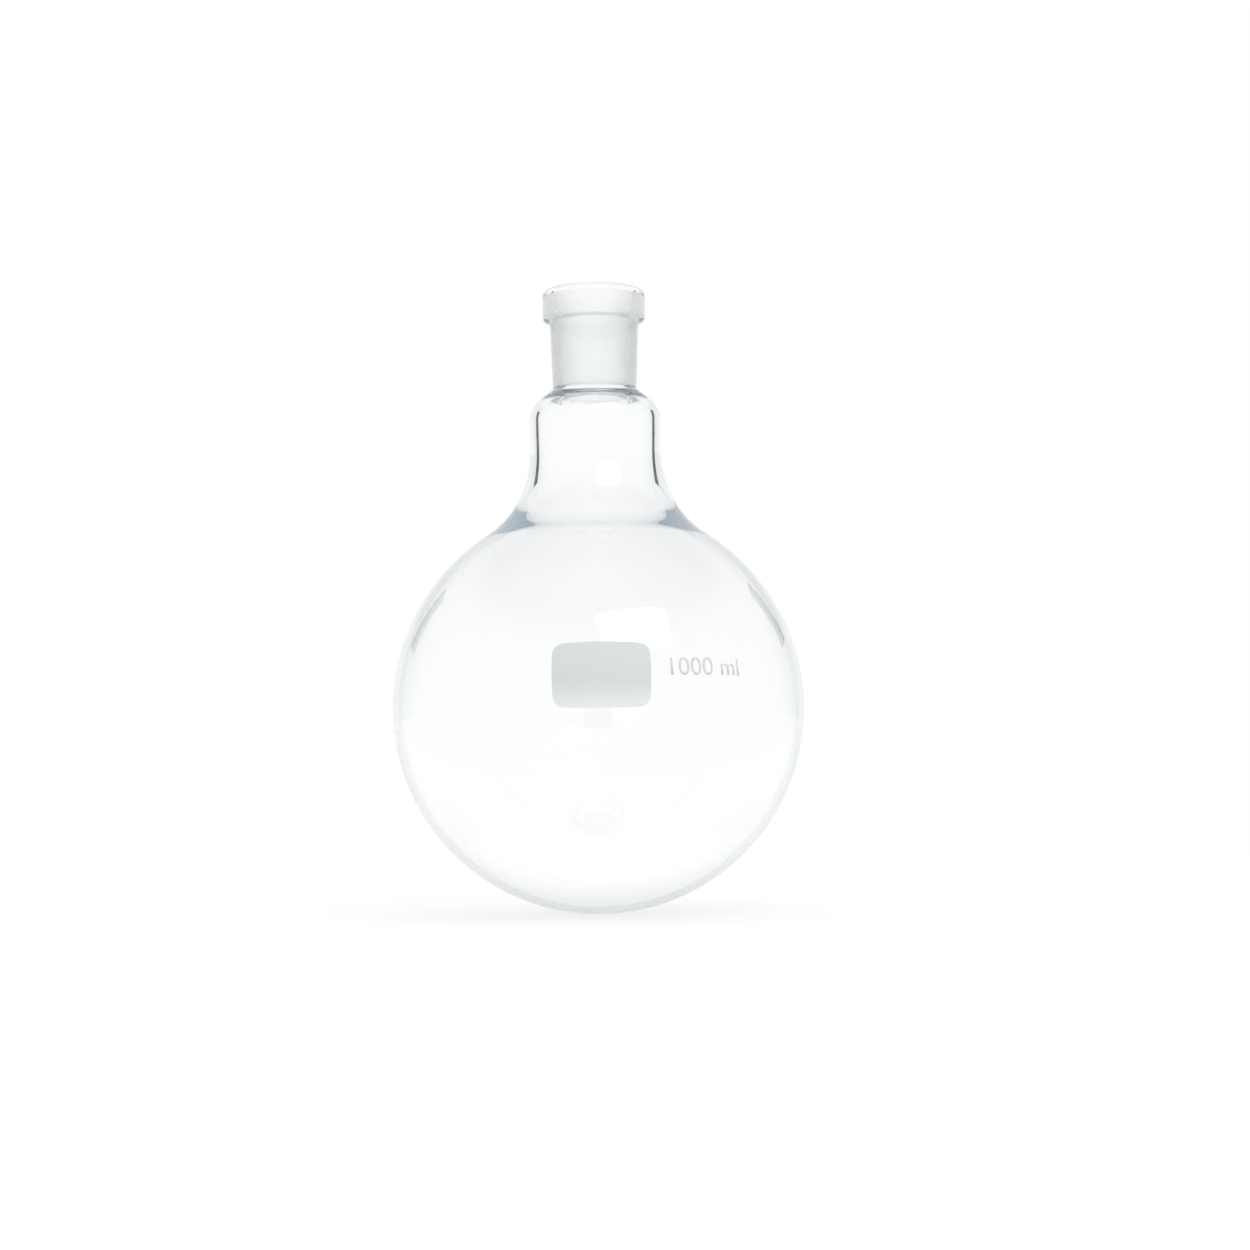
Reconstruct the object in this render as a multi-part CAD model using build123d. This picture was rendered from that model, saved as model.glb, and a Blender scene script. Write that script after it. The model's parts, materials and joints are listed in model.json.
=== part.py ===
from build123d import *

import math
import os

# A 1000 ml round-bottom boiling flask with one neck, which ends in a 24/29 conical ground socket.
# It is blown from one piece of borosilicate glass. A thin enamel writing field is fired onto the bulb.
#
# It stands upright on its lowest point, which is the origin, as it does in a stand clamp that grips
# its neck: a round bottom can't hold it up. The axis is +Z and the writing field faces -Y.
# Lengths are in millimetres and angles in degrees.

# ---- bulb ----
BULB_DIAMETER = 131.0
BULB_WALL = 2.2

# ---- neck ----
NECK_DIAMETER = 42.2
NECK_LENGTH = 14.43  # from the flare to the edge where the shoulder begins
NECK_TOP_WALL = 2.5
NECK_FOOT_WALL = 3.6  # where the neck's inside would meet the bulb's, before its flare is cut
NECK_FLARE_RADIUS = 32.0  # outside, where the neck runs into the bulb
NECK_INNER_FLARE_RADIUS = 28.0

# ---- shoulder, where the neck closes in to the socket ----
SHOULDER_SLOPE = 40.0
SHOULDER_RADIUS = 8.6
SHOULDER_INNER_FLAT = 0.2  # flat ring that is left inside, round the socket's foot
SHOULDER_CROOK_RADIUS = 1.5
SHOULDER_TOP_WALL = 3.6  # thickness of the glass just under the socket, along the axis

# ---- ground socket, 24/29 ----
SOCKET_LARGE_END = 24.0  # bore at the top of its standard length
SOCKET_LENGTH = 29.0  # standard length along the axis
SOCKET_TAPER = 1.0 / 10.0  # loss of bore for each millimetre of length
SOCKET_RUN_OUT = 1.6  # the grinding goes on this far past each end
SOCKET_TOP_WALL = 2.2
SOCKET_FOOT_WALL = 3.0
SOCKET_RELIEF = 1.8  # clear glass between the grinding and the shoulder's inside
SOCKET_NOSE_RADIUS = 1.2  # where that clear glass turns out to the shoulder's inside

# ---- mouth and the bead round it ----
MOUTH_LAND = 1.5  # clear, fire-polished length above the grinding
MOUTH_LIP_RADIUS = 1.2
BEAD_DIAMETER = 33.1
BEAD_HEIGHT = 10.6  # from the mouth down to where its underside meets the socket's tube
BEAD_UNDERSIDE_SLOPE = 30.0
BEAD_LIP_RADIUS = 1.5
BEAD_EDGE_RADIUS = 2.0
BEAD_CROOK_RADIUS = 0.9

# ---- writing field, an enamel print on the bulb ----
FIELD_WIDTH = 28.2
FIELD_HEIGHT = 18.6
FIELD_CORNER_RADIUS = 3.4
FIELD_BOW = 0.5  # how far the middle of each side bows out
FIELD_LATITUDE = 7.0  # its middle, above the bulb's equator
FIELD_THICKNESS = 0.2


def leg(hypotenuse, other_leg):
    """The other leg of a right triangle."""
    return math.sqrt(hypotenuse**2 - other_leg**2)


# ---- sizes that follow, from the axis outwards ----
BULB_RADIUS = BULB_DIAMETER / 2
BULB_INNER_RADIUS = BULB_RADIUS - BULB_WALL
NECK_RADIUS = NECK_DIAMETER / 2
NECK_TOP_INNER_RADIUS = NECK_RADIUS - NECK_TOP_WALL
NECK_FOOT_INNER_RADIUS = NECK_RADIUS - NECK_FOOT_WALL
CONE_LENGTH = SOCKET_LENGTH + 2 * SOCKET_RUN_OUT
CONE_TOP_RADIUS = (SOCKET_LARGE_END + SOCKET_RUN_OUT * SOCKET_TAPER) / 2
CONE_FOOT_RADIUS = CONE_TOP_RADIUS - CONE_LENGTH * SOCKET_TAPER / 2
TUBE_TOP_RADIUS = CONE_TOP_RADIUS + SOCKET_TOP_WALL
TUBE_FOOT_RADIUS = CONE_FOOT_RADIUS + SOCKET_FOOT_WALL
BEAD_RADIUS = BEAD_DIAMETER / 2

# ---- heights that follow, from the bottom of the bulb upwards ----
BULB_CENTRE = BULB_RADIUS
NECK_FOOT = BULB_CENTRE + leg(BULB_RADIUS, NECK_RADIUS)
NECK_FOOT_INNER = BULB_CENTRE + leg(BULB_INNER_RADIUS, NECK_FOOT_INNER_RADIUS)
FLARE_TOP = BULB_CENTRE + leg(BULB_RADIUS + NECK_FLARE_RADIUS, NECK_RADIUS + NECK_FLARE_RADIUS)
SHOULDER_EDGE = FLARE_TOP + NECK_LENGTH
TUBE_FOOT = SHOULDER_EDGE + (NECK_RADIUS - TUBE_FOOT_RADIUS) * math.tan(math.radians(SHOULDER_SLOPE))
SHOULDER_INNER_TOP = TUBE_FOOT - SHOULDER_TOP_WALL
NECK_INNER_TAPER = math.atan2(NECK_FOOT_WALL - NECK_TOP_WALL, SHOULDER_INNER_TOP - NECK_FOOT_INNER)
SHOULDER_INNER_ROOM = NECK_TOP_INNER_RADIUS - CONE_FOOT_RADIUS - SOCKET_NOSE_RADIUS - SHOULDER_INNER_FLAT
SHOULDER_INNER_RADIUS = SHOULDER_INNER_ROOM / math.tan((math.pi / 2 + NECK_INNER_TAPER) / 2)
CONE_FOOT = SHOULDER_INNER_TOP + SOCKET_RELIEF
CONE_TOP = CONE_FOOT + CONE_LENGTH
MOUTH = CONE_TOP + MOUTH_LAND
BEAD_FOOT = MOUTH - BEAD_HEIGHT
BEAD_EDGE = BEAD_FOOT + (BEAD_RADIUS - TUBE_TOP_RADIUS) * math.tan(math.radians(BEAD_UNDERSIDE_SLOPE))


def half_section(bulb_radius, rounded_corners):
    """Half of a flask's outline: round the bulb, up over the corners and back down the axis."""
    bottom = (0, BULB_CENTRE - bulb_radius)
    corners = [corner for corner, _ in rounded_corners]
    with BuildSketch() as section:
        with BuildLine():
            ThreePointArc(bottom, (bulb_radius, BULB_CENTRE), corners[0])
            Polyline(*corners, (0, MOUTH), bottom)
        make_face()
        for corner, radius in rounded_corners:
            if radius:
                fillet(section.vertices().sort_by_distance(corner)[0], radius)
    return section.sketch


def build_flask():
    """The blown glass: half of its wall's section, with each corner melted round, turned about the axis."""
    mouth_lip = (CONE_TOP_RADIUS, MOUTH)
    outside = half_section(
        BULB_RADIUS,
        [
            ((NECK_RADIUS, NECK_FOOT), NECK_FLARE_RADIUS),
            ((NECK_RADIUS, SHOULDER_EDGE), SHOULDER_RADIUS),
            ((TUBE_FOOT_RADIUS, TUBE_FOOT), SHOULDER_CROOK_RADIUS),
            ((TUBE_TOP_RADIUS, BEAD_FOOT), BEAD_CROOK_RADIUS),
            ((BEAD_RADIUS, BEAD_EDGE), BEAD_EDGE_RADIUS),
            ((BEAD_RADIUS, MOUTH), BEAD_LIP_RADIUS),
        ],
    )
    inside = half_section(
        BULB_INNER_RADIUS,
        [
            ((NECK_FOOT_INNER_RADIUS, NECK_FOOT_INNER), NECK_INNER_FLARE_RADIUS),
            ((NECK_TOP_INNER_RADIUS, SHOULDER_INNER_TOP), SHOULDER_INNER_RADIUS),
            ((CONE_FOOT_RADIUS, SHOULDER_INNER_TOP), SOCKET_NOSE_RADIUS),
            ((CONE_FOOT_RADIUS, CONE_FOOT), 0),
            ((CONE_TOP_RADIUS, CONE_TOP), 0),
            (mouth_lip, 0),
        ],
    )
    wall = outside - inside
    wall = fillet(wall.vertices().sort_by_distance(mouth_lip)[0], MOUTH_LIP_RADIUS)
    return revolve(Plane.XZ * wall, Axis.Z)


def build_writing_field():
    """A thin patch of the bulb's surface, cut to a rounded rectangle whose sides bow out a little."""
    half_width = FIELD_WIDTH / 2
    half_height = FIELD_HEIGHT / 2
    corners = [
        (half_width, -half_height),
        (half_width, half_height),
        (-half_width, half_height),
        (-half_width, -half_height),
    ]
    with BuildSketch() as outline:
        with BuildLine():
            for start, end in zip(corners, corners[1:] + corners[:1]):
                middle_x, middle_y = (start[0] + end[0]) / 2, (start[1] + end[1]) / 2
                from_centre = math.hypot(middle_x, middle_y)
                out = 1 + FIELD_BOW / from_centre
                ThreePointArc(start, (middle_x * out, middle_y * out), end)
        make_face()
        fillet(outline.vertices(), FIELD_CORNER_RADIUS)

    facing_front = Plane(
        origin=(0, 0, BULB_CENTRE),
        x_dir=(1, 0, 0),
        z_dir=(0, -math.cos(math.radians(FIELD_LATITUDE)), math.sin(math.radians(FIELD_LATITUDE))),
    )
    beam = extrude(facing_front * outline.sketch, BULB_DIAMETER)
    skin = Pos(0, 0, BULB_CENTRE) * (Sphere(BULB_RADIUS + FIELD_THICKNESS) - Sphere(BULB_RADIUS))
    return skin & beam


os.makedirs("parts", exist_ok=True)
PARTS = {
    "flask": build_flask(),
    "writing_field": build_writing_field(),
}
for name, shape in PARTS.items():
    export_step(shape, f"parts/{name}.step")
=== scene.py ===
import json
import logging
import math
from collections.abc import Iterator
from contextlib import contextmanager
from dataclasses import dataclass, field
from enum import Enum

import bpy
from mathutils import Euler, Matrix, Vector


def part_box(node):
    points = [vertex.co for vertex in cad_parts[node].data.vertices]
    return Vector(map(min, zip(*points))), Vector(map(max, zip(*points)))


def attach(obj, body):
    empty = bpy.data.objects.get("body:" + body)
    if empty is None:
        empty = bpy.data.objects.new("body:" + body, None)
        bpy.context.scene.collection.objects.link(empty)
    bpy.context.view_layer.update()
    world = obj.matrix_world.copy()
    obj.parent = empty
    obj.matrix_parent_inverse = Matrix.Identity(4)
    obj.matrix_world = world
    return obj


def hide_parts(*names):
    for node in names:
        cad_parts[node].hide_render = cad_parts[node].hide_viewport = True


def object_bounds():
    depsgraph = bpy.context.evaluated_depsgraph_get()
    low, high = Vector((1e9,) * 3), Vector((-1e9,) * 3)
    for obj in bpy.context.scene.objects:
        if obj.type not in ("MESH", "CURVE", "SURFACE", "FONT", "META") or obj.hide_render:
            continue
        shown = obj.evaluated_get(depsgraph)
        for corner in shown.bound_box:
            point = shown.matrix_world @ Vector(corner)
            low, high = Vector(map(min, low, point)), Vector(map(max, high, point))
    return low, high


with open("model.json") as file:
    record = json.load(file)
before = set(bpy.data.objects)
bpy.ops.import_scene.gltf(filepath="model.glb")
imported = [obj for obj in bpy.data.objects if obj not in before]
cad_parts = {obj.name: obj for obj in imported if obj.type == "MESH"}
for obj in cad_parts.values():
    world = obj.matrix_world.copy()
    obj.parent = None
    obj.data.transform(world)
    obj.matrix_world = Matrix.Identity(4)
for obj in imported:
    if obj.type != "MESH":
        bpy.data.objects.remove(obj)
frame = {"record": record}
CAD_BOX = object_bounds()

MM = 0.001  # the scene is in metres, and the sizes below are in millimetres
BODY = "root"
ONCE = 0.5  # a Light Path depth above this has happened at least once
ONE_WALL = 2.5  # a Transmission Depth below this has crossed one wall of glass at most

Colour = tuple[float, float, float, float]

log = logging.getLogger("flask")


class Slot(Enum):
    """The record's material slots."""

    GLASS = "borosilicate_glass"
    ENAMEL = "white_enamel"


class Node(Enum):
    """The CAD nodes that pieces stand for."""

    FLASK = "flask"
    FIELD = "writing_field"


class FlaskSurface(Enum):
    """The two surfaces of the blown glass, in the order of their material slots."""

    CLEAR = 0
    GROUND = 1


# ---------------- helpers


def deselect_all() -> None:
    """Leaves nothing selected, so that an operator acts only on what is made next."""
    bpy.ops.object.select_all(action="DESELECT")


def select_only(obj: bpy.types.Object) -> None:
    """Selects one object and makes it active.

    Args:
        obj: The object that the next operators act on.
    """
    deselect_all()
    obj.select_set(True)
    bpy.context.view_layer.objects.active = obj


def settle(obj: bpy.types.Object) -> None:
    """Moves an object's place, turn and scale into its mesh."""
    select_only(obj)
    bpy.ops.object.transform_apply(location=True, rotation=True, scale=True)


def apply_modifier(obj: bpy.types.Object, kind: str, **settings: object) -> None:
    """Adds one modifier, sets it and applies it.

    Args:
        obj: The object that is changed.
        kind: The modifier's type, such as "CAST".
        **settings: Its settings by name.
    """
    select_only(obj)
    modifier = obj.modifiers.new(kind.title(), kind)
    for name, value in settings.items():
        setattr(modifier, name, value)
    bpy.ops.object.modifier_apply(modifier=modifier.name)


@contextmanager
def whole_mesh(obj: bpy.types.Object) -> Iterator[None]:
    """Goes into edit mode with all of a mesh selected, and out of it again.

    Args:
        obj: The mesh object.
    """
    select_only(obj)
    bpy.ops.object.mode_set(mode="EDIT")
    bpy.ops.mesh.select_all(action="SELECT")
    yield
    bpy.ops.object.mode_set(mode="OBJECT")


def face_outwards(obj: bpy.types.Object, merge_distance: float = 1e-6) -> None:
    """Merges a mesh's doubles and turns its faces outwards.

    Args:
        obj: The mesh object.
        merge_distance: How near two points are one, in metres.
    """
    with whole_mesh(obj):
        bpy.ops.mesh.remove_doubles(threshold=merge_distance)
        bpy.ops.mesh.normals_make_consistent(inside=False)


def hand_over(obj: bpy.types.Object, node: Node | None = None) -> None:
    """Makes a finished piece ride on the flask's body and reports it.

    Args:
        obj: The finished piece.
        node: The CAD node that it stands for, if any.
    """
    log.info("%s: %d faces", obj.name, len(obj.data.polygons))
    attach(obj, BODY)
    if node is not None:
        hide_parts(node.value)


def turned(vector: Vector, angle: float) -> Vector:
    """A vector of the section's plane, turned anticlockwise by an angle in radians."""
    return Matrix.Rotation(angle, 2) @ vector


@dataclass(frozen=True)
class Corner:
    """A corner of a section: its place in millimetres and how far it is melted round."""

    across: float
    up: float
    rounding: float = 0.0

    @property
    def place(self) -> Vector:
        """The corner as a vector of the section's plane."""
        return Vector((self.across, self.up))


class SectionPen:
    """Draws a section in the XZ plane as a chain of edges, each stroke from the last one's end."""

    def __init__(self, name: str, start: Vector) -> None:
        """Puts the pen down.

        Args:
            name: The name of the mesh object that is drawn.
            start: Distance from the axis and height, in millimetres.
        """
        deselect_all()
        bpy.ops.mesh.primitive_plane_add(size=MM)
        self.drawing = bpy.context.object
        self.drawing.name = self.drawing.data.name = name
        bpy.ops.object.mode_set(mode="EDIT")
        bpy.ops.mesh.select_all(action="SELECT")
        bpy.ops.mesh.merge(type="CENTER")
        bpy.ops.transform.translate(value=self.in_space(start))
        self.place = start

    @staticmethod
    def in_space(flat: Vector) -> Vector:
        """A vector of the section's plane as one of space, in metres."""
        return Vector((flat.x, 0.0, flat.y)) * MM

    def line(self, end: Vector, pieces: int = 1) -> None:
        """Draws a straight stroke.

        Args:
            end: Where it ends, in millimetres.
            pieces: How many edges it has.
        """
        step = (end - self.place) / pieces
        for _ in range(pieces):
            bpy.ops.mesh.extrude_region_move(TRANSFORM_OT_translate={"value": self.in_space(step)})
        self.place = end

    def arc(self, centre: Vector, angle: float, pieces: int) -> None:
        """Draws an arc.

        Args:
            centre: Its centre, in millimetres.
            angle: How far it turns, in radians, anticlockwise if positive.
            pieces: How many edges it has.
        """
        bpy.ops.mesh.spin(
            steps=pieces, angle=angle, center=self.in_space(centre), axis=(0.0, 1.0, 0.0)
        )
        self.place = centre + turned(self.place - centre, angle)

    def rounded(self, corner: Corner, following: Vector, pieces: int) -> None:
        """Draws to a corner and round it.

        Args:
            corner: The corner and its rounding.
            following: The next corner, which the rounding turns towards.
            pieces: How many edges the rounding has.
        """
        if not corner.rounding:
            self.line(corner.place)
            return
        back = (self.place - corner.place).normalized()
        ahead = (following - corner.place).normalized()
        half_angle = back.angle(ahead) / 2
        tangent = corner.rounding / math.tan(half_angle)
        centre = corner.place + (back + ahead).normalized() * corner.rounding / math.sin(half_angle)
        turns_left = ahead.x * back.y - ahead.y * back.x > 0
        turn = math.pi - 2 * half_angle
        self.line(corner.place + back * tangent)
        self.arc(centre, turn if turns_left else -turn, pieces)

    def lift(self) -> bpy.types.Object:
        """Ends the drawing, and gives the object that holds the chain of edges."""
        bpy.ops.object.mode_set(mode="OBJECT")
        return self.drawing


class Wiring:
    """Adds nodes to one node tree and wires them up."""

    def __init__(self, tree: bpy.types.NodeTree) -> None:
        """Starts on a tree, which is emptied.

        Args:
            tree: A material's, the world's or a group's tree.
        """
        self.tree = tree
        self.tree.nodes.clear()

    def node(
        self, kind: str, inputs: dict[str | int, object] | None = None, **settings: object
    ) -> bpy.types.Node:
        """Adds a node.

        Args:
            kind: Its type name.
            inputs: Values or sockets for its inputs, by name or number.
            **settings: Its own settings.

        Returns:
            The node.
        """
        made = self.tree.nodes.new(kind)
        for name, value in settings.items():
            setattr(made, name, value)
        for key, value in (inputs or {}).items():
            self.feed(made.inputs[key], value)
        return made

    def feed(self, socket: bpy.types.NodeSocket, value: object) -> None:
        """Sets an input, or links it if the value is a socket."""
        if isinstance(value, bpy.types.NodeSocket):
            self.tree.links.new(value, socket)
        else:
            socket.default_value = value

    def math(self, operation: str, *values: object, clamp: bool = False) -> bpy.types.NodeSocket:
        """Adds a Math node.

        Args:
            operation: Its operation.
            *values: Numbers or sockets.
            clamp: Whether its result is kept within 0 and 1.

        Returns:
            Its result.
        """
        inputs = dict(enumerate(values))
        return self.node("ShaderNodeMath", inputs, operation=operation, use_clamp=clamp).outputs[0]

    def rise(self, value: object, low: float, high: float) -> bpy.types.NodeSocket:
        """A smooth step from 0 at low to 1 at high."""
        inputs = {"Value": value, "From Min": low, "From Max": high}
        step = self.node("ShaderNodeMapRange", inputs, interpolation_type="SMOOTHSTEP")
        return step.outputs["Result"]

    def band(self, value: object, low: float, high: float, soft: float) -> bpy.types.NodeSocket:
        """1 between low and high, falling smoothly to 0 within soft outside them."""
        up = self.rise(value, low - soft, low)
        down = self.rise(value, high, high + soft)
        return self.math("SUBTRACT", up, down)

    def spread(self, value: object, low: object, high: object) -> bpy.types.NodeSocket:
        """Spreads a value of 0 to 1 evenly from low to high."""
        inputs = {"Value": value, "To Min": low, "To Max": high}
        return self.node("ShaderNodeMapRange", inputs).outputs["Result"]

    def mix(self, share: object, first: object, second: object) -> bpy.types.NodeSocket:
        """Mixes two colours.

        Args:
            share: How much of the second there is, from 0 to 1.
            first: A colour of four numbers, or a socket.
            second: The same.

        Returns:
            The mixed colour.
        """
        made = self.node("ShaderNodeMix", data_type="RGBA")
        for name, value in (("Factor", share), ("A", first), ("B", second)):
            wanted = "VALUE" if name == "Factor" else "RGBA"
            self.feed(next(s for s in made.inputs if s.name == name and s.type == wanted), value)
        return next(s for s in made.outputs if s.type == "RGBA")

    def noise(self, inputs: dict[str, object], **settings: object) -> bpy.types.NodeSocket:
        """Adds a Noise Texture and gives its value."""
        return self.node("ShaderNodeTexNoise", inputs, **settings).outputs["Fac"]

    def bump(
        self, height: bpy.types.NodeSocket, depth: float, strength: float = 1.0, **under: object
    ) -> bpy.types.NodeSocket:
        """Turns a relief into a normal, over the Normal of the relief under it, if one is given."""
        inputs = {"Strength": strength, "Distance": depth, "Height": height, **under}
        return self.node("ShaderNodeBump", inputs).outputs["Normal"]

    def principled(self, inputs: dict[str, object]) -> None:
        """Adds the Principled shader and joins it to the material's output."""
        shader = self.node("ShaderNodeBsdfPrincipled", inputs)
        self.node("ShaderNodeOutputMaterial", {"Surface": shader.outputs["BSDF"]})


def grey(level: float, warmth: float = 0.0) -> Colour:
    """A grey, a little warmer or, if warmth is negative, cooler."""
    return (level * (1 + warmth), level, level * (1 - warmth), 1.0)


# ---------------- effects


def add_socket(tree: bpy.types.NodeTree, name: str, way: str, default: float | None = None) -> None:
    """Adds a number socket to a group.

    Args:
        tree: The group's tree.
        name: The socket's name.
        way: "INPUT" or "OUTPUT".
        default: An input's usual value.
    """
    socket = tree.interface.new_socket(name=name, in_out=way, socket_type="NodeSocketFloat")
    if default is not None:
        socket.default_value = default


def make_grain_group() -> bpy.types.NodeTree:
    """An uneven grain: roughness that drifts between two values, a speckle and a height.

    Returns:
        The group, with inputs Size (metres), Smoothest and Roughest, and outputs
        Roughness, Speckle and Height.
    """
    tree = bpy.data.node_groups.new("uneven grain", "ShaderNodeTree")
    add_socket(tree, "Size", "INPUT", 0.001)
    add_socket(tree, "Smoothest", "INPUT", 0.3)
    add_socket(tree, "Roughest", "INPUT", 0.5)
    for name in ("Roughness", "Speckle", "Height"):
        add_socket(tree, name, "OUTPUT")
    wiring = Wiring(tree)
    given = wiring.node("NodeGroupInput").outputs
    coordinates = wiring.node("ShaderNodeTexCoord").outputs["Object"]
    broadness, broad_share, fine_share = 0.13, 0.6, 0.4  # the broad grain against the fine one
    drift_ends, speckle_ends = (0.35, 0.65), (0.3, 0.7)  # of the noise, spread to 0 and 1
    fine_scale = wiring.math("DIVIDE", 1.0, given["Size"])
    broad_scale = wiring.math("MULTIPLY", fine_scale, broadness)
    fine = wiring.noise(
        {"Vector": coordinates, "Scale": fine_scale, "Detail": 3.0, "Roughness": 0.6}
    )
    broad = wiring.noise({"Vector": coordinates, "Scale": broad_scale, "Detail": 2.0})
    blended = wiring.math(
        "ADD",
        wiring.math("MULTIPLY", fine, fine_share),
        wiring.math("MULTIPLY", broad, broad_share),
    )
    drift = wiring.rise(blended, *drift_ends)
    roughness = wiring.spread(drift, given["Smoothest"], given["Roughest"])
    speckle = wiring.rise(fine, *speckle_ends)
    wiring.node("NodeGroupOutput", {"Roughness": roughness, "Speckle": speckle, "Height": blended})
    return tree


def make_turning_group() -> bpy.types.NodeTree:
    """Faint rings round the axis, as turning on a lathe or a grinding mandrel leaves.

    Returns:
        The group, with inputs Pitch (metres) and Waver, and the output Height.
    """
    tree = bpy.data.node_groups.new("turning rings", "ShaderNodeTree")
    add_socket(tree, "Pitch", "INPUT", 0.001)
    add_socket(tree, "Waver", "INPUT", 0.3)
    add_socket(tree, "Height", "OUTPUT")
    wiring = Wiring(tree)
    given = wiring.node("NodeGroupInput").outputs
    coordinates = wiring.node("ShaderNodeTexCoord").outputs["Object"]
    height = wiring.node("ShaderNodeSeparateXYZ", {0: coordinates}).outputs["Z"]
    waver_scale = 60.0  # so the rings stray over about a sixtieth of a metre
    turns = wiring.math("DIVIDE", height, given["Pitch"])
    noise = wiring.noise({"Vector": coordinates, "Scale": waver_scale, "Detail": 2.0})
    strayed = wiring.math("ADD", turns, wiring.math("MULTIPLY", noise, given["Waver"]))
    rings = wiring.noise({"W": strayed, "Scale": 1.0, "Detail": 2.0}, noise_dimensions="1D")
    wiring.node("NodeGroupOutput", {"Height": rings})
    return tree


@dataclass
class Effects:
    """The shader groups that more than one finish uses, each built once."""

    grain: bpy.types.NodeTree = field(default_factory=make_grain_group)
    turning: bpy.types.NodeTree = field(default_factory=make_turning_group)


# ---------------- finishes


def new_material(name: str) -> tuple[bpy.types.Material, Wiring]:
    """Makes an empty node material.

    Args:
        name: Its name.

    Returns:
        The material and the wiring of its tree.
    """
    material = bpy.data.materials.new(name)
    material.use_nodes = True
    return material, Wiring(material.node_tree)


def use_effect(wiring: Wiring, tree: bpy.types.NodeTree, **inputs: float) -> bpy.types.Node:
    """Places a shader group in a material and gives it this material's values."""
    return wiring.node("ShaderNodeGroup", dict(inputs), node_tree=tree)


@dataclass(frozen=True)
class Grain:
    """A surface's grain: its size, and the two roughnesses that it drifts between."""

    size: float
    smoothest: float
    roughest: float

    def place(self, wiring: Wiring, effects: Effects) -> bpy.types.Node:
        """Places the grain group in a material with these values."""
        values = {"Size": self.size, "Smoothest": self.smoothest, "Roughest": self.roughest}
        return use_effect(wiring, effects.grain, **values)


@dataclass(frozen=True)
class ClearGlass:
    """Fire-polished borosilicate glass, with the faint waves that blowing and turning leave.

    Lengths are in metres, here and in the other finishes.
    """

    tint: Colour = (0.992, 0.997, 0.995, 1.0)
    refraction: float = 1.473
    wave_pitch: float = 0.011
    wave_waver: float = 0.8
    wave_depth: float = 0.00002
    film: Grain = Grain(0.006, 0.0, 0.012)

    def make(self, effects: Effects) -> bpy.types.Material:
        """Builds the material.

        Args:
            effects: The shared shader groups.

        Returns:
            The material.
        """
        material, wiring = new_material("clear borosilicate glass")
        waves = use_effect(wiring, effects.turning, Pitch=self.wave_pitch, Waver=self.wave_waver)
        film = self.film.place(wiring, effects)
        wiring.principled(
            {
                "Base Color": self.tint,
                "Roughness": film.outputs["Roughness"],
                "IOR": self.refraction,
                "Transmission Weight": 1.0,
                "Normal": wiring.bump(waves.outputs["Height"], self.wave_depth),
            }
        )
        return material


@dataclass(frozen=True)
class GroundGlass:
    """The socket's ground cone: finely frosted, with the rings that the grinding mandrel leaves."""

    tint: Colour = (0.975, 0.993, 0.99, 1.0)
    glance: Colour = (0.88, 0.92, 0.92, 1.0)  # what it mirrors head-on
    refraction: float = 1.473
    frost: Grain = Grain(0.0006, 0.46, 0.6)
    ring_pitch: float = 0.00035
    ring_waver: float = 0.4
    ring_depth: float = 0.00001
    pit_depth: float = 0.000005

    def make(self, effects: Effects) -> bpy.types.Material:
        """Builds the material.

        Args:
            effects: The shared shader groups.

        Returns:
            The material.
        """
        material, wiring = new_material("ground borosilicate glass")
        rings = use_effect(wiring, effects.turning, Pitch=self.ring_pitch, Waver=self.ring_waver)
        frost = self.frost.place(wiring, effects)
        pits = wiring.bump(frost.outputs["Height"], self.pit_depth)
        wiring.principled(
            {
                "Base Color": self.tint,
                "Roughness": frost.outputs["Roughness"],
                "IOR": self.refraction,
                "Specular Tint": self.glance,
                "Transmission Weight": 1.0,
                "Normal": wiring.bump(rings.outputs["Height"], self.ring_depth, Normal=pits),
            }
        )
        return material


@dataclass(frozen=True)
class MattEnamel:
    """Fired enamel: matt and a little uneven, as a screen print on glass is.

    Its colour goes from lighter at the height of its foot to darker at that of its top: painted
    light, lighter towards the bottom.
    """

    name: str
    shaded_top: Colour
    lit_foot: Colour
    foot: float
    top: float
    grain: Grain = Grain(0.0005, 0.62, 0.82)
    grain_depth: float = 0.00002
    grain_strength: float = 0.6
    speckle_share: float = 0.15

    def make(self, effects: Effects) -> bpy.types.Material:
        """Builds the material.

        Args:
            effects: The shared shader groups.

        Returns:
            The material.
        """
        material, wiring = new_material(self.name)
        grain = self.grain.place(wiring, effects)
        relief = wiring.bump(grain.outputs["Height"], self.grain_depth, self.grain_strength)
        coordinates = wiring.node("ShaderNodeTexCoord").outputs["Object"]
        height = wiring.node("ShaderNodeSeparateXYZ", {0: coordinates}).outputs["Z"]
        # painted light: the colour lightens from the top down to the foot
        rise = wiring.rise(height, self.foot, self.top)
        drift = wiring.math("MULTIPLY", rise, 1.0 - self.speckle_share)
        speckle = wiring.math("MULTIPLY", grain.outputs["Speckle"], self.speckle_share)
        wiring.principled(
            {
                "Base Color": wiring.mix(wiring.math("ADD", drift, speckle), self.lit_foot, self.shaded_top),
                "Roughness": grain.outputs["Roughness"],
                "Normal": relief,
            }
        )
        return material


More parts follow.
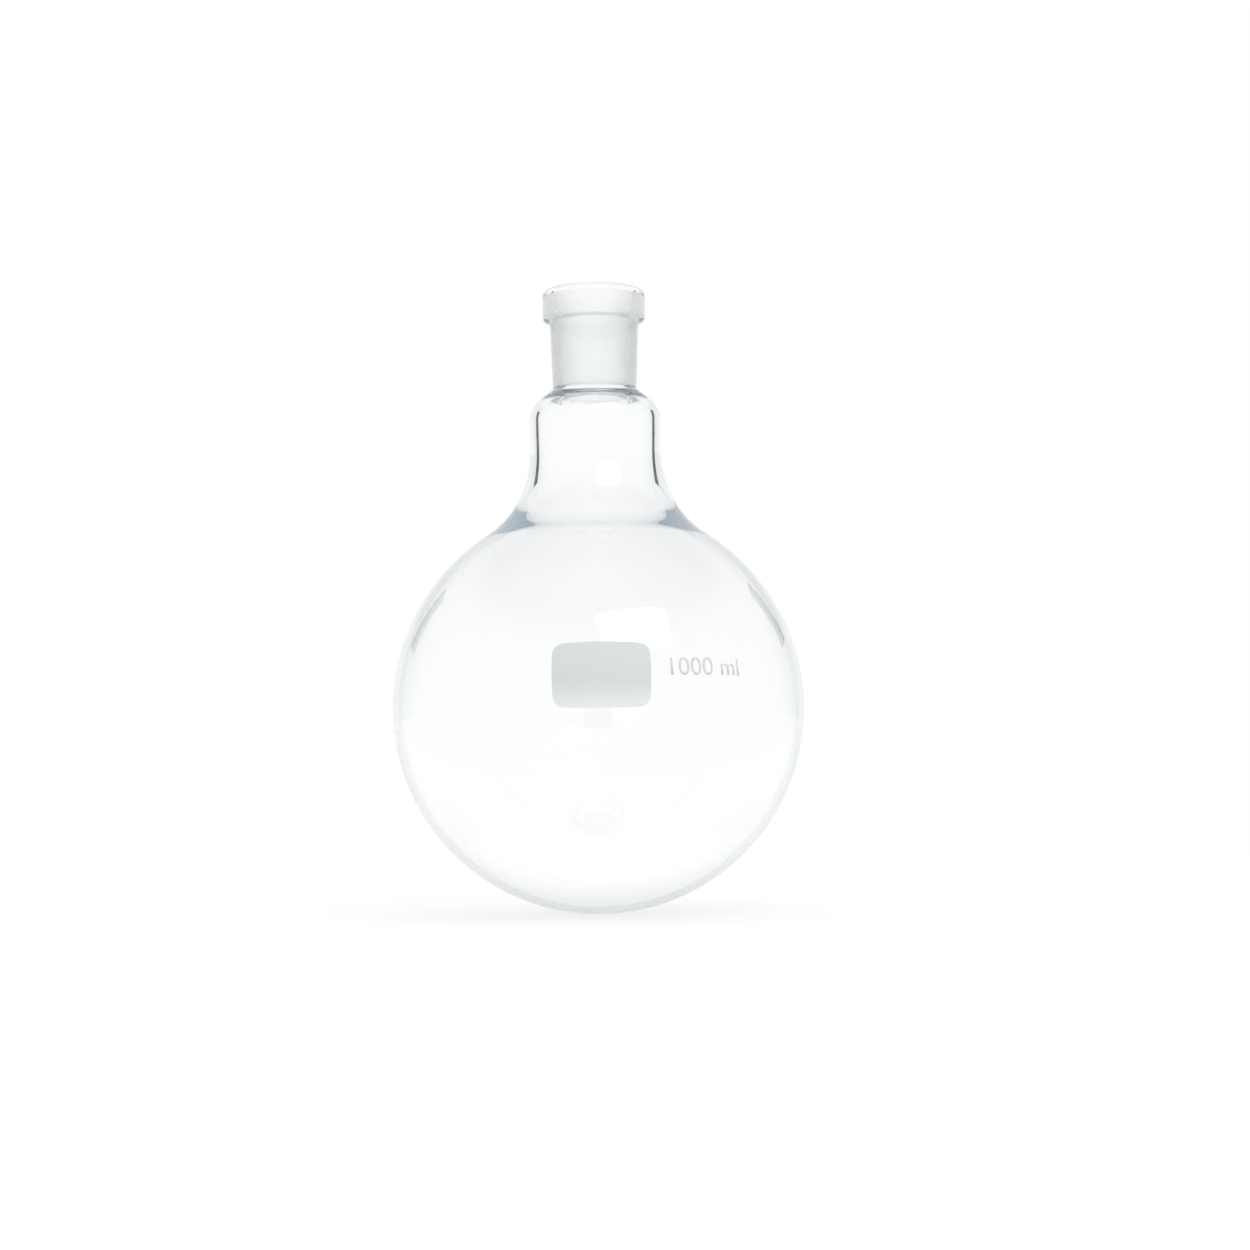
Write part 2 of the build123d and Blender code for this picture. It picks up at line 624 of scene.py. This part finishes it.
@dataclass(frozen=True)
class StudioTable:
    """The pale floor: matt white, and as white as the wall to all but the light that it gives, with
    a painted pool of light round the flask for light through the glass.
    """

    matt_level: float = 0.22
    grain: Grain = Grain(0.002, 0.7, 0.9)
    lift: float = 0.8
    bounce: float = 0.4  # in place of the lift, for the light that the table gives
    painted_light_near_flask: float = 0.84  # in its place again for glass, close to the flask: a painted pool of light that fills in the flask's shadow
    near: tuple[float, float] = (0.05, 0.42)
    edge_lift: float = 0.84  # for light that one wall of glass has turned back
    guided_turns: float = 2.5  # as often turned back as this, light has run inside the wall
    guided_glow: Colour = (0.14, 0.21, 0.27, 1.0)  # and this is what it shows

    def make(self, effects: Effects) -> bpy.types.Material:
        """Builds the material.

        Args:
            effects: The shared shader groups.

        Returns:
            The material.
        """
        material, wiring = new_material("pale table")
        grain = self.grain.place(wiring, effects)
        path = wiring.node("ShaderNodeLightPath").outputs
        coordinates = wiring.node("ShaderNodeTexCoord").outputs["Object"]
        length = wiring.node("ShaderNodeVectorMath", {0: coordinates}, operation="LENGTH")
        # painted light: for glass, the table glows brighter close to the flask, which fills in its
        # shadow
        away = wiring.rise(length.outputs["Value"], *self.near)
        around = wiring.mix(away, grey(self.painted_light_near_flask), grey(self.lift))
        turned_back = wiring.math("GREATER_THAN", path["Glossy Depth"], ONCE)
        one_wall = wiring.math("LESS_THAN", path["Transmission Depth"], ONE_WALL)
        edge = wiring.math("MULTIPLY", turned_back, one_wall)
        at_edge = wiring.mix(edge, around, grey(self.edge_lift))
        guided = wiring.math("GREATER_THAN", path["Glossy Depth"], self.guided_turns)
        from_glass = wiring.mix(guided, at_edge, self.guided_glow)
        through_glass = wiring.mix(path["Is Transmission Ray"], grey(self.lift), from_glass)
        glow = wiring.mix(path["Is Diffuse Ray"], through_glass, grey(self.bounce))
        wiring.principled(
            {
                "Base Color": grey(self.matt_level),
                "Roughness": grain.outputs["Roughness"],
                "Specular IOR Level": 0.0,
                "Emission Color": glow,
                "Emission Strength": 1.0,
            }
        )
        return material


# ---------------- the flask


@dataclass
class BlownFlask:
    """The blown glass: bulb, neck, shoulder, ground socket and bead. Lengths are in millimetres."""

    bulb_diameter: float
    mouth: float
    neck_radius: float
    bulb_wall: float = 2.2
    neck_length: float = 14.43
    neck_top_wall: float = 2.5
    neck_foot_wall: float = 3.6
    neck_flare: float = 32.0
    neck_inner_flare: float = 28.0
    shoulder_slope: float = math.radians(40.0)
    shoulder_rounding: float = 8.6
    shoulder_inner_flat: float = 0.2
    shoulder_crook: float = 1.5
    shoulder_top_wall: float = 3.6
    cone_top_radius: float = 12.08
    cone_foot_radius: float = 10.47
    cone_length: float = 32.2
    socket_top_wall: float = 2.2
    socket_foot_wall: float = 3.0
    socket_nose: float = 1.2
    mouth_land: float = 1.5
    mouth_lip: float = 1.2
    bead_radius: float = 16.55
    bead_height: float = 10.6
    bead_slope: float = math.radians(30.0)
    bead_lip: float = 1.5
    bead_edge: float = 2.0
    bead_crook: float = 0.9
    ground_margin: float = 0.3  # the cone's faces lie within this of its top radius
    bulb_pieces: int = 98
    flare_pieces: int = 20
    inner_flare_pieces: int = 18
    neck_foot_pieces: int = 3
    wide_rounding: float = 4.0  # a rounding wider than this is drawn with more pieces
    wide_rounding_pieces: int = 14
    rounding_pieces: int = 9
    turns: int = 256
    smooth_angle: float = math.radians(35.0)
    glass: bpy.types.Object | None = None

    @classmethod
    def from_frame(cls) -> "BlownFlask":
        """Takes the main sizes from the frame.

        Returns:
            A flask as wide, as tall and with as thick a neck as the CAD model.
        """
        low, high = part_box(Node.FLASK.value)
        mounts = {mount["name"]: mount for mount in frame["record"]["mounts"]}
        return cls(
            bulb_diameter=(high.x - low.x) / MM,
            mouth=high.z / MM,
            neck_radius=mounts["neck"]["dims"]["r_mm"],
        )

    @property
    def bulb_radius(self) -> float:
        """Half of the bulb's diameter, which is also its centre's height."""
        return self.bulb_diameter / 2

    def corners_outside(self) -> list[Corner]:
        """The outside's corners above the neck's flare, from the shoulder to the mouth."""
        tube_foot = self.cone_foot_radius + self.socket_foot_wall
        tube_top = self.cone_top_radius + self.socket_top_wall
        flare = self.flare_centre(self.bulb_radius, self.neck_radius, self.neck_flare)
        edge = flare.y + self.neck_length
        shoulder_top = edge + (self.neck_radius - tube_foot) * math.tan(self.shoulder_slope)
        bead_foot = self.mouth - self.bead_height
        bead_edge = bead_foot + (self.bead_radius - tube_top) * math.tan(self.bead_slope)
        return [
            Corner(self.neck_radius, edge, self.shoulder_rounding),
            Corner(tube_foot, shoulder_top, self.shoulder_crook),
            Corner(tube_top, bead_foot, self.bead_crook),
            Corner(self.bead_radius, bead_edge, self.bead_edge),
            Corner(self.bead_radius, self.mouth, self.bead_lip),
            Corner(self.cone_top_radius, self.mouth, self.mouth_lip),
        ]

    def flare_centre(
        self, bulb: float, neck: float, flare: float, lean: float = 0.0, foot: float = 0.0
    ) -> Vector:
        """The centre of the arc that melts a neck into its bulb.

        Args:
            bulb: The bulb's radius.
            neck: The neck's radius, at the foot if it leans.
            flare: The arc's own radius.
            lean: How far the neck widens upwards, in radians.
            foot: The height of a leaning neck's foot.

        Returns:
            The centre, as far as the arc's radius from both.
        """
        along = Vector((math.sin(lean), math.cos(lean)))
        outwards = Vector((along.y, -along.x))
        start = Vector((neck, foot)) + outwards * flare - Vector((0.0, self.bulb_radius))
        middle = start.dot(along)
        reach = bulb + flare
        on = -middle + math.sqrt(middle**2 - start.length_squared + reach**2)
        return start + along * on + Vector((0.0, self.bulb_radius))

    def draw_bulb(self, pen: SectionPen, flare: Vector, upwards: bool, lean: float = 0.0) -> None:
        """Draws a bulb's arc and its flare, from the bottom up or from the neck down.

        Args:
            pen: The pen, at the bottom of the bulb or at the neck's end of the flare.
            flare: The flare's centre.
            upwards: Whether the pen starts at the bottom.
            lean: How far the neck widens upwards, in radians.
        """
        middle = Vector((0.0, self.bulb_radius))
        to_flare = flare - middle
        angle = math.atan2(to_flare.y, to_flare.x)
        round_bulb = angle + math.pi / 2
        if upwards:
            pen.arc(middle, round_bulb, self.bulb_pieces)
            pen.arc(flare, -(angle + lean), self.flare_pieces)
        else:
            pen.arc(flare, angle + lean, self.inner_flare_pieces)
            pen.arc(middle, -round_bulb, self.bulb_pieces)

    def draw_section(self) -> bpy.types.Object:
        """Draws the wall's half section: up the outside, over the mouth and down the inside.

        Returns:
            The chain of edges.
        """
        pen = SectionPen("flask_glass", Vector((0.0, 0.0)))
        outer = self.flare_centre(self.bulb_radius, self.neck_radius, self.neck_flare)
        self.draw_bulb(pen, outer, upwards=True)

        outside = self.corners_outside()
        shoulder_inner_top = outside[1].up - self.shoulder_top_wall
        cone_top = self.mouth - self.mouth_land
        neck_inner_top = self.neck_radius - self.neck_top_wall
        neck_inner_foot = self.neck_radius - self.neck_foot_wall
        bulb_inner = self.bulb_radius - self.bulb_wall
        foot = self.bulb_radius + math.sqrt(bulb_inner**2 - neck_inner_foot**2)
        lean = math.atan2(neck_inner_top - neck_inner_foot, shoulder_inner_top - foot)
        room = neck_inner_top - self.cone_foot_radius - self.socket_nose - self.shoulder_inner_flat
        inner_rounding = room / math.tan((math.pi / 2 + lean) / 2)
        inside = [
            Corner(self.cone_top_radius, cone_top),
            Corner(self.cone_foot_radius, cone_top - self.cone_length),
            Corner(self.cone_foot_radius, shoulder_inner_top, self.socket_nose),
            Corner(neck_inner_top, shoulder_inner_top, inner_rounding),
        ]
        corners = outside + inside
        ends = [corner.place for corner in corners[1:]] + [Vector((neck_inner_foot, foot))]
        for corner, following in zip(corners, ends):
            wide = corner.rounding > self.wide_rounding
            pieces = self.wide_rounding_pieces if wide else self.rounding_pieces
            pen.rounded(corner, following, pieces)

        inner = self.flare_centre(bulb_inner, neck_inner_foot, self.neck_inner_flare, lean, foot)
        across = Vector((math.cos(lean), -math.sin(lean)))
        pen.line(inner - across * self.neck_inner_flare, self.neck_foot_pieces)
        self.draw_bulb(pen, inner, upwards=False, lean=lean)
        return pen.lift()

    def build(self) -> None:
        """Turns the section about the axis, merges its seams and smooths its shading."""
        self.glass = self.draw_section()
        with whole_mesh(self.glass):
            bpy.ops.mesh.spin(steps=self.turns, angle=math.tau, center=(0, 0, 0), axis=(0, 0, 1))
        face_outwards(self.glass)
        bpy.ops.object.shade_smooth_by_angle(angle=self.smooth_angle)

    def dress(self, clear: bpy.types.Material, ground: bpy.types.Material) -> None:
        """Gives the wall its clear surface and the cone its ground one.

        Args:
            clear: The fire-polished glass.
            ground: The ground glass.
        """
        for material in (clear, ground):
            self.glass.data.materials.append(material)
        cone_top = (self.mouth - self.mouth_land) * MM
        cone_foot = cone_top - self.cone_length * MM
        widest = (self.cone_top_radius + self.ground_margin) * MM
        for face in self.glass.data.polygons:
            across = math.hypot(face.center.x, face.center.y)
            if across < widest and cone_foot < face.center.z < cone_top:
                face.material_index = FlaskSurface.GROUND.value
        hand_over(self.glass, Node.FLASK)


@dataclass
class BulbPrint:
    """A print that is fired onto the bulb. Lengths are in millimetres and angles in degrees."""

    bulb_radius: float
    name: str
    azimuth: float
    latitude: float
    bottom: float = -0.03  # below the bulb's surface
    top: float = 0.1  # above it
    node: Node | None = None
    film: bpy.types.Object | None = None

    def wrap(self) -> None:
        """Stands the flat film in front of the bulb, lays it on it and gives it its thickness."""
        self.film.rotation_euler.x = math.pi / 2
        self.film.location = (0.0, -self.bulb_radius * MM, 0.0)
        settle(self.film)
        apply_modifier(
            self.film,
            "CAST",
            cast_type="SPHERE",
            factor=1.0,
            radius=0.0,
            size=(self.bulb_radius + self.bottom) * MM,
            use_radius_as_size=False,
        )
        thickness = (self.top - self.bottom) * MM
        apply_modifier(self.film, "SOLIDIFY", thickness=thickness, offset=1.0)

    def put_in_place(self) -> None:
        """Turns the film to its azimuth and latitude about the bulb's centre."""
        self.film.rotation_euler = Euler(
            (-math.radians(self.latitude), 0.0, math.radians(self.azimuth)), "XYZ"
        )
        self.film.location = (0.0, 0.0, self.bulb_radius * MM)
        settle(self.film)
        face_outwards(self.film)

    def dress(self, enamel: bpy.types.Material) -> None:
        """Gives the print its enamel.

        Args:
            enamel: The fired enamel.
        """
        self.film.data.materials.clear()
        self.film.data.materials.append(enamel)
        hand_over(self.film, self.node)


@dataclass
class WritingField(BulbPrint):
    """The enamel patch for pencil notes, a rounded rectangle whose sides bow out a little."""

    node: Node | None = Node.FIELD
    width: float = 28.2
    height: float = 18.6
    corner_rounding: float = 3.4
    bow: float = 0.5
    side_pieces: int = 16
    corner_pieces: int = 8
    grid: tuple[int, int] = (48, 34)  # of the sheet that the patch is trimmed from
    sheet_width: float = 1.2  # in patch widths
    sheet_height: float = 0.72  # in sheet widths
    smooth_angle: float = math.radians(30.0)

    def cutter(self) -> bpy.types.Object:
        """Makes the prism that trims the patch, from its outline in the XZ plane.

        Returns:
            The prism, which reaches forwards from the axis.
        """
        across, up = self.width / 2, self.height / 2
        corners = [Vector(c) for c in ((across, -up), (across, up), (-across, up), (-across, -up))]
        bowed = []
        for start, end in zip(corners, corners[1:] + corners[:1]):
            half = (end - start).length / 2
            radius = (half**2 + self.bow**2) / (2 * self.bow)
            outwards = (start + end).normalized()
            bowed.append(((start + end) / 2 - outwards * (radius - self.bow), radius, outwards))
        inset = []
        for side, following in zip(bowed, bowed[1:] + bowed[:1]):
            near = side[2] + following[2]
            inset.append(self.rounding_centre(*side[:2], *following[:2], near))
        last = inset[-1]
        start = bowed[0][0] + (last - bowed[0][0]).normalized() * bowed[0][1]
        pen = SectionPen("field_cutter", start)
        for (centre, _, _), rounding, (following, _, _) in zip(bowed, inset, bowed[1:] + bowed[:1]):
            side_turn = self.turn(pen.place - centre, rounding - centre)
            pen.arc(centre, side_turn, self.side_pieces)
            corner_turn = self.turn(pen.place - rounding, rounding - following)
            pen.arc(rounding, corner_turn, self.corner_pieces)
        prism = pen.lift()
        face_outwards(prism)
        forwards = (0.0, -2 * self.bulb_radius * MM, 0.0)
        with whole_mesh(prism):
            bpy.ops.mesh.edge_face_add()
            bpy.ops.mesh.extrude_region_move(TRANSFORM_OT_translate={"value": forwards})
        face_outwards(prism)
        return prism

    def rounding_centre(
        self, first: Vector, first_radius: float, second: Vector, second_radius: float, near: Vector
    ) -> Vector:
        """The centre of a corner's rounding, inside two bowed sides.

        Args:
            first: The centre of the side before the corner.
            first_radius: That side's radius.
            second: The centre of the side after it.
            second_radius: Its radius.
            near: Roughly where the corner is.

        Returns:
            The point that is as far as the rounding from both sides.
        """
        a, b = first_radius - self.corner_rounding, second_radius - self.corner_rounding
        between = second - first
        distance = between.length
        along = (a**2 - b**2 + distance**2) / (2 * distance)
        aside = math.sqrt(a**2 - along**2)
        foot = first + between / distance * along
        normal = Vector((-between.y, between.x)) / distance
        points = (foot + normal * aside, foot - normal * aside)
        return max(points, key=lambda point: point.dot(near))

    @staticmethod
    def turn(start: Vector, end: Vector) -> float:
        """The anticlockwise angle from one direction to another."""
        return (math.atan2(end.y, end.x) - math.atan2(start.y, start.x)) % math.tau

    def build(self) -> None:
        """Trims a patch of the bulb's skin to its outline."""
        prism = self.cutter()
        deselect_all()
        bpy.ops.mesh.primitive_grid_add(
            x_subdivisions=self.grid[0],
            y_subdivisions=self.grid[1],
            size=self.width * self.sheet_width * MM,
        )
        self.film = bpy.context.object
        self.film.name = self.film.data.name = self.name
        with whole_mesh(self.film):
            bpy.ops.transform.resize(value=(1.0, self.sheet_height, 1.0))
        self.wrap()
        apply_modifier(self.film, "BOOLEAN", operation="INTERSECT", object=prism, solver="EXACT")
        bpy.data.objects.remove(prism)
        self.put_in_place()
        bpy.ops.object.shade_smooth_by_angle(angle=self.smooth_angle)


@dataclass
class VolumeMark(BulbPrint):
    """The fired volume mark beside the writing field."""

    words: str = "1000 ml"
    width: float = 24.0
    height: float = 5.3
    top: float = 0.06
    curve_pieces: int = 6
    thinning: float = -0.006  # of the strokes, in letter heights

    def build(self) -> None:
        """Sets the words, lays them on the bulb and gives them their thickness."""
        deselect_all()
        bpy.ops.object.text_add()
        words = bpy.context.object
        words.name = self.name
        words.data.body = self.words
        words.data.align_x = "CENTER"
        words.data.align_y = "CENTER"
        words.data.resolution_u = self.curve_pieces
        words.data.offset = self.thinning
        bpy.ops.object.convert(target="MESH")
        self.film = bpy.context.object
        self.film.data.name = self.name
        size = self.film.dimensions
        self.film.scale = (self.width * MM / size.x, self.height * MM / size.y, 1.0)
        settle(self.film)
        bpy.ops.object.origin_set(type="ORIGIN_GEOMETRY", center="BOUNDS")
        self.wrap()
        self.put_in_place()


# ---------------- the studio


HALF_TURN = 180.0

# Degrees from straight ahead, and the room's colour there.
BACKDROP_STOPS = (
    (0.0, (1.0, 1.0, 1.0)),
    (11.0, (0.98, 0.98, 0.985)),
    (17.0, (0.94, 0.95, 0.955)),
    (22.0, (0.9, 0.915, 0.925)),
    (28.0, (0.83, 0.85, 0.86)),
    (35.0, (0.8, 0.825, 0.835)),
    (48.0, (0.8, 0.825, 0.835)),
    (62.0, (1.0, 1.0, 1.0)),
)
CEILING_STOPS = (
    (0.0, (0.36, 0.43, 0.49)),
    (32.0, (0.32, 0.38, 0.44)),
    (54.0, (0.02, 0.024, 0.028)),
    (100.0, (0.02, 0.024, 0.03)),
    (120.0, (0.12, 0.16, 0.22)),
    (144.0, (0.42, 0.48, 0.54)),
    (180.0, (0.6, 0.63, 0.66)),
)


@dataclass(frozen=True)
class FlagBoard:
    """The black boards' surface, which stops only light that has crossed one wall of glass."""

    black: Colour = (0.02, 0.026, 0.028, 1.0)
    neck_reach: float = 0.281  # light that starts nearer than the neck passes through too
    grain: Grain = Grain(0.004, 0.8, 1.0)

    def make(self, effects: Effects) -> bpy.types.Material:
        """Builds the material.

        Args:
            effects: The shared shader groups.

        Returns:
            The material.
        """
        material, wiring = new_material("black flag board")
        grain = self.grain.place(wiring, effects)
        path = wiring.node("ShaderNodeLightPath").outputs
        one_wall = wiring.math("LESS_THAN", path["Transmission Depth"], ONE_WALL)
        from_neck = wiring.math("GREATER_THAN", path["Ray Length"], self.neck_reach)
        wiring.principled(
            {
                "Base Color": self.black,
                "Roughness": grain.outputs["Roughness"],
                "Alpha": wiring.math("MULTIPLY", one_wall, from_neck),
            }
        )
        return material


@dataclass
class Studio:
    """A pale table in a bright room, with two black flags that only the glass shows.

    Lengths are in metres and angles in degrees. Most pairs say where a change starts and ends,
    in degrees above the horizon.
    """

    table_radius: float = 6.0
    table_sides: int = 96
    diffuse_level: float = 0.92
    wall_level: float = 1.0
    table_level: float = 1.02
    skyline: tuple[float, float] = (0.1, 2.1)  # where the wall takes over from the table
    backdrop_rise: tuple[float, float, float] = (-8.0, 18.0, 6.0)  # from, to, soft
    ceiling_edge: tuple[float, float] = (34.0, 52.0)
    deep_edge: tuple[float, float] = (7.0, 13.0)
    far_deep_edge: tuple[float, float] = (24.0, 34.0)
    deep_turns: float = 1.5  # as often turned back as this, light shows the ceiling lower down
    mirror_edge: tuple[float, float] = (0.0, 60.0)
    mirror_level: float = 0.5
    mirror_warmth: float = -0.02
    flag_side: float = 47.5  # from straight ahead, to either side
    flag_distance: float = 0.3
    flag_width: float = 0.052
    flag_heights: tuple[float, float] = (0.144, 0.24)
    guided_turns: float = 3.5  # as often turned back as this, light has run inside the wall
    guided_colour: Colour = (0.34, 0.41, 0.47, 1.0)
    window_way: tuple[float, float, float] = (0.303, -0.697, 0.65)
    window_distance: float = 1.1
    window_size: tuple[float, float] = (0.7, 0.42)
    window_glow: float = 2.6

    def build(self, table_finish: bpy.types.Material, flag_finish: bpy.types.Material) -> None:
        """Lays the table, stands the flags, hangs the window and lights the room.

        Args:
            table_finish: The table's material.
            flag_finish: The black flags' material.
        """
        deselect_all()
        bpy.ops.mesh.primitive_circle_add(
            vertices=self.table_sides, radius=self.table_radius, fill_type="TRIFAN"
        )
        table = bpy.context.object
        table.name = table.data.name = "studio_table"
        table.data.materials.append(table_finish)
        for side in (-1, 1):
            self.stand_flag(side, flag_finish)
        self.hang_window()
        self.light_room()

    def stand_flag(self, side: int, finish: bpy.types.Material) -> None:
        """Stands a black flag behind the neck, to one side, for the dark line down its wall.

        Args:
            side: -1 for the left, 1 for the right.
            finish: The flag's material.
        """
        foot, top = self.flag_heights
        angle = math.radians(side * self.flag_side)
        deselect_all()
        bpy.ops.mesh.primitive_plane_add(size=1.0)
        flag = bpy.context.object
        flag.name = flag.data.name = "studio_flag_left" if side < 0 else "studio_flag_right"
        flag.scale = (self.flag_width, top - foot, 1.0)
        flag.rotation_euler = (math.pi / 2, 0.0, -angle)
        flag.location = (
            math.sin(angle) * self.flag_distance,
            math.cos(angle) * self.flag_distance,
            (foot + top) / 2,
        )
        settle(flag)
        flag.data.materials.append(finish)
        flag.visible_camera = flag.visible_glossy = False
        flag.visible_diffuse = flag.visible_shadow = False

    def hang_window(self) -> None:
        """Adds the soft window lamp, which also shows as a highlight in the glass."""
        target = Vector((0.0, 0.0, CAD_BOX[1].z / 3))  # a third of the way up the flask
        way = Vector(self.window_way).normalized()
        lamp = bpy.data.lights.new("studio_window", "AREA")
        lamp.shape = "RECTANGLE"
        lamp.size, lamp.size_y = self.window_size
        lamp.energy = self.window_glow * math.pi * lamp.size * lamp.size_y
        holder = bpy.data.objects.new("studio_window", lamp)
        holder.location = target + way * self.window_distance
        holder.rotation_euler = way.to_track_quat("Z", "Y").to_euler()
        holder.visible_camera = False
        bpy.context.collection.objects.link(holder)

    def light_room(self) -> None:
        """Makes the world: white to the camera, even to matt surfaces, a room to glass."""
        world = bpy.data.worlds.new("studio room")
        world.use_nodes = True
        bpy.context.scene.world = world
        wiring = Wiring(world.node_tree)
        way = wiring.node("ShaderNodeTexCoord").outputs["Generated"]
        parts = wiring.node("ShaderNodeSeparateXYZ", {0: way}).outputs
        elevation = wiring.math("DEGREES", wiring.math("ARCSINE", parts["Z"]))
        turn = wiring.math("DEGREES", wiring.math("ARCTAN2", parts["X"], parts["Y"]))
        round_room = wiring.math("DIVIDE", wiring.math("ABSOLUTE", turn), HALF_TURN)
        path = wiring.node("ShaderNodeLightPath").outputs

        above = wiring.rise(elevation, *self.skyline)
        wall = wiring.mix(above, grey(self.table_level), grey(self.wall_level))
        backdrop = self.painted(wiring, round_room, BACKDROP_STOPS)
        backdrop_seen = wiring.band(elevation, *self.backdrop_rise)
        walls = wiring.mix(backdrop_seen, wall, backdrop)

        ceiling = self.painted(wiring, round_room, CEILING_STOPS)
        ceiling_seen = wiring.rise(elevation, *self.ceiling_edge)
        deep = wiring.math("GREATER_THAN", path["Glossy Depth"], self.deep_turns)
        deep_seen = wiring.math("MULTIPLY", deep, wiring.rise(elevation, *self.deep_edge))
        room = wiring.mix(wiring.math("MAXIMUM", ceiling_seen, deep_seen), walls, ceiling)

        overhead = wiring.rise(elevation, *self.mirror_edge)
        mirrored = wiring.mix(overhead, wall, grey(self.mirror_level, self.mirror_warmth))
        from_matt = wiring.math("GREATER_THAN", path["Diffuse Depth"], ONCE)
        through_glass = wiring.math("SUBTRACT", path["Is Transmission Ray"], from_matt, clamp=True)
        turned_back = wiring.math("GREATER_THAN", path["Glossy Depth"], ONCE)
        guided = wiring.math("GREATER_THAN", path["Glossy Depth"], self.guided_turns)
        far_wall = wiring.math("GREATER_THAN", path["Transmission Depth"], ONE_WALL)
        far_deep = wiring.math("MULTIPLY", deep, wiring.rise(elevation, *self.far_deep_edge))
        beyond = wiring.mix(turned_back, walls, wiring.mix(far_deep, wall, self.guided_colour))
        by_wall = wiring.mix(far_wall, room, beyond)
        seen_through = wiring.mix(guided, by_wall, self.guided_colour)
        plain = wiring.mix(path["Is Camera Ray"], grey(self.diffuse_level), grey(1.0))
        reflected = wiring.mix(path["Is Glossy Ray"], plain, mirrored)
        seen = wiring.mix(through_glass, reflected, seen_through)
        background = wiring.node("ShaderNodeBackground", {"Color": seen, "Strength": 1.0})
        wiring.node("ShaderNodeOutputWorld", {"Surface": background.outputs[0]})

    @staticmethod
    def painted(
        wiring: Wiring,
        share: bpy.types.NodeSocket,
        stops: tuple[tuple[float, tuple[float, float, float]], ...],
    ) -> bpy.types.NodeSocket:
        """Paints the room round, from ahead of the camera to behind it.

        Args:
            wiring: The world's wiring.
            share: 0 ahead of the camera, 1 behind it.
            stops: Angles in degrees from straight ahead, and their colours.

        Returns:
            The colour.
        """
        made = wiring.node("ShaderNodeValToRGB", {0: share})
        elements = made.color_ramp.elements
        elements.remove(elements[-1])
        (angle, colour), *others = stops
        elements[0].position, elements[0].color = angle / HALF_TURN, (*colour, 1.0)
        for angle, colour in others:
            elements.new(angle / HALF_TURN).color = (*colour, 1.0)
        return made.outputs["Color"]


@dataclass
class StudioCamera:
    """The camera. It stands in front of the flask's axis, in metres, before it swings round."""

    frame_width: int = 1250
    focal_length: float = 2308.0  # in picture widths of frame_width
    aside: float = 0.00875
    distance: float = 0.738
    height: float = 0.044
    pitch: float = math.radians(3.715)
    roll: float = math.radians(-0.76)
    swing: float = math.radians(-1.5)
    sensor: float = 36.0  # in millimetres
    clip: tuple[float, float] = (0.01, 50.0)

    def build(self) -> None:
        """Makes the camera and gives it to the scene."""
        data = bpy.data.cameras.new("studio_camera")
        data.sensor_width = self.sensor
        data.sensor_fit = "HORIZONTAL"
        data.lens = self.focal_length / self.frame_width * self.sensor
        data.clip_start, data.clip_end = self.clip
        camera = bpy.data.objects.new("studio_camera", data)
        round_axis = Matrix.Rotation(self.swing, 4, "Z")
        place = Matrix.Translation((self.aside, -self.distance, self.height))
        tilt = Matrix.Rotation(math.pi / 2 + self.pitch, 4, "X")
        roll = Matrix.Rotation(self.roll, 4, "Z")
        camera.matrix_world = round_axis @ place @ (tilt @ roll)
        bpy.context.collection.objects.link(camera)
        bpy.context.scene.camera = camera


def set_up_picture(most_turns: int = 64, most_surfaces: int = 24) -> None:
    """Sets the plain view and lets light go far enough in the glass.

    Args:
        most_turns: How often light may be turned back, and how often it may bounce in all.
        most_surfaces: How many surfaces of glass it may cross.
    """
    scene = bpy.context.scene
    scene.view_settings.view_transform = "Standard"
    scene.cycles.max_bounces = scene.cycles.glossy_bounces = most_turns
    scene.cycles.transmission_bounces = most_surfaces


def main() -> None:
    """Builds and dresses the flask, then sets up the studio round it."""
    logging.basicConfig(level=logging.INFO, format="%(name)s: %(message)s")
    effects = Effects()

    flask = BlownFlask.from_frame()
    flask.build()
    flask.dress(ClearGlass().make(effects), GroundGlass().make(effects))

    patch = WritingField(flask.bulb_radius, "writing_field_enamel", azimuth=0.0, latitude=7.0)
    patch.build()
    patch.dress(
        MattEnamel(
            "white enamel",
            # painted light: the field is lighter at its foot than at its top
            shaded_top=(0.685, 0.74, 0.735, 1.0),
            lit_foot=(0.91, 0.93, 0.92, 1.0),
            foot=0.0625,
            top=0.0725,
        ).make(effects)
    )

    mark = VolumeMark(flask.bulb_radius, "volume_mark", azimuth=28.9, latitude=9.1)
    mark.build()
    mark.dress(
        MattEnamel(
            "grey fired ink",
            # painted light: the mark is lighter at its foot than at its top
            shaded_top=(0.72, 0.73, 0.74, 1.0),
            lit_foot=(0.78, 0.79, 0.79, 1.0),
            foot=0.068,
            top=0.084,
        ).make(effects)
    )

    StudioCamera().build()
    Studio().build(StudioTable().make(effects), FlagBoard().make(effects))
    set_up_picture()


if __name__ == "__main__":
    main()
